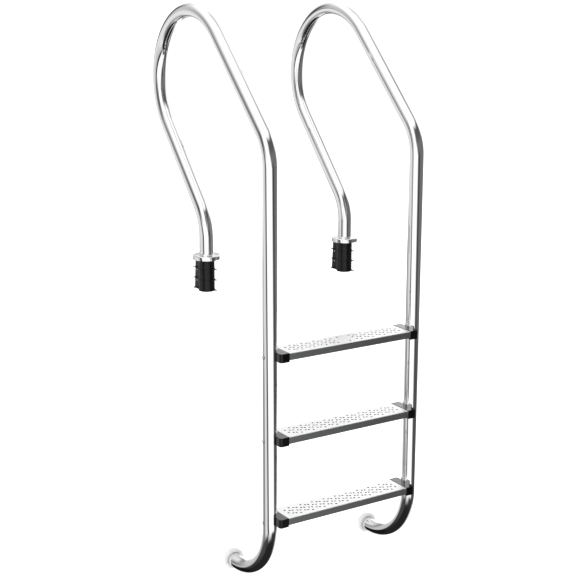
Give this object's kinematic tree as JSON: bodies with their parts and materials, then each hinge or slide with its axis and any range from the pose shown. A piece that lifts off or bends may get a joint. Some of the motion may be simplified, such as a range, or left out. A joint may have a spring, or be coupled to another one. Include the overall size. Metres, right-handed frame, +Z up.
{
  "type": "pool ladder",
  "caption": "Pool ladder with polished tubular side rails that rise into hooped handrails, flat treads in plastic end caps, J-hooked feet with ball bumpers, cover plates and wedge deck anchors.",
  "frame": {"origin": "centre of the upper tread's top face, in the plane of the two legs' axes", "axes": "+Z up, +X along the treads from the left rail to the right rail, +Y from the pool toward the deck"},
  "size_m": [0.5922, 0.7079, 1.7031],
  "materials": {
    "rail": "mirror-polished stainless steel tube",
    "tread": "polished stainless steel sheet with pressed anti-slip dots",
    "cap": "satin moulded black plastic",
    "fastener": "plain stainless steel",
    "bumper": "soft white rubber",
    "escutcheon": "mirror-polished pressed stainless steel",
    "anchor": "satin moulded black plastic",
    "plug": "light grey plastic",
    "wedge": "dull cast metal"
  },
  "bodies": {
    "deck_anchors": {"left_anchor_socket": "anchor", "right_anchor_socket": "anchor", "left_anchor_upper_plug": "plug", "left_anchor_lower_plug": "plug", "right_anchor_upper_plug": "plug", "right_anchor_lower_plug": "plug", "left_anchor_bolt_washer": "fastener", "right_anchor_bolt_washer": "fastener"},
    "ladder_frame": {"left_rail": "rail", "right_rail": "rail", "upper_tread": "tread", "middle_tread": "tread", "lower_tread": "tread", "upper_tread_left_cap": "cap", "upper_tread_right_cap": "cap", "middle_tread_left_cap": "cap", "middle_tread_right_cap": "cap", "lower_tread_left_cap": "cap", "lower_tread_right_cap": "cap", "left_wall_bumper": "bumper", "right_wall_bumper": "bumper", "upper_tread_left_bolt": "fastener", "upper_tread_left_washer": "fastener", "upper_tread_left_nut": "fastener", "upper_tread_right_bolt": "fastener", "upper_tread_right_washer": "fastener", "upper_tread_right_nut": "fastener", "middle_tread_left_bolt": "fastener", "middle_tread_left_washer": "fastener", "middle_tread_left_nut": "fastener", "middle_tread_right_bolt": "fastener", "middle_tread_right_washer": "fastener", "middle_tread_right_nut": "fastener", "lower_tread_left_bolt": "fastener", "lower_tread_left_washer": "fastener", "lower_tread_left_nut": "fastener", "lower_tread_right_bolt": "fastener", "lower_tread_right_washer": "fastener", "lower_tread_right_nut": "fastener"},
    "left_escutcheon_body": {"left_escutcheon": "escutcheon"},
    "right_escutcheon_body": {"right_escutcheon": "escutcheon"},
    "left_wedge_bolt_body": {"left_anchor_wedge_bolt": "fastener"},
    "right_wedge_bolt_body": {"right_anchor_wedge_bolt": "fastener"},
    "left_wedge_body": {"left_anchor_wedge": "wedge"},
    "right_wedge_body": {"right_anchor_wedge": "wedge"}
  },
  "joints": [
    {"name": "ladder_lift_out", "type": "slide", "parent": "deck_anchors", "child": "ladder_frame", "axis": [0, 0, 1], "range_m": [0, 0.095]},
    {"name": "left_escutcheon_slide", "type": "slide", "parent": "ladder_frame", "child": "left_escutcheon_body", "axis": [0, 0, 1], "range_m": [0, 0.045]},
    {"name": "right_escutcheon_slide", "type": "slide", "parent": "ladder_frame", "child": "right_escutcheon_body", "axis": [0, 0, 1], "range_m": [0, 0.045]},
    {"name": "left_wedge_bolt_turn", "type": "hinge", "parent": "deck_anchors", "child": "left_wedge_bolt_body", "pos_m": [-0.254, 0.39137, 0.2027], "axis": [0, 0, -1], "range_deg": [0, 2880]},
    {"name": "left_wedge_slide", "type": "slide", "parent": "deck_anchors", "child": "left_wedge_body", "axis": [0, -0.066, 0.9978], "range_m": [0, 0.01]},
    {"name": "right_wedge_bolt_turn", "type": "hinge", "parent": "deck_anchors", "child": "right_wedge_bolt_body", "pos_m": [0.254, 0.39137, 0.2027], "axis": [0, 0, -1], "range_deg": [0, 2880]},
    {"name": "right_wedge_slide", "type": "slide", "parent": "deck_anchors", "child": "right_wedge_body", "axis": [0, -0.066, 0.9978], "range_m": [0, 0.01]}
  ],
  "couplings": [
    {"joint": "left_wedge_bolt_turn", "follows": "left_wedge_slide", "rad_per_m": 5015.5},
    {"joint": "right_wedge_bolt_turn", "follows": "right_wedge_slide", "rad_per_m": 5015.5}
  ]
}
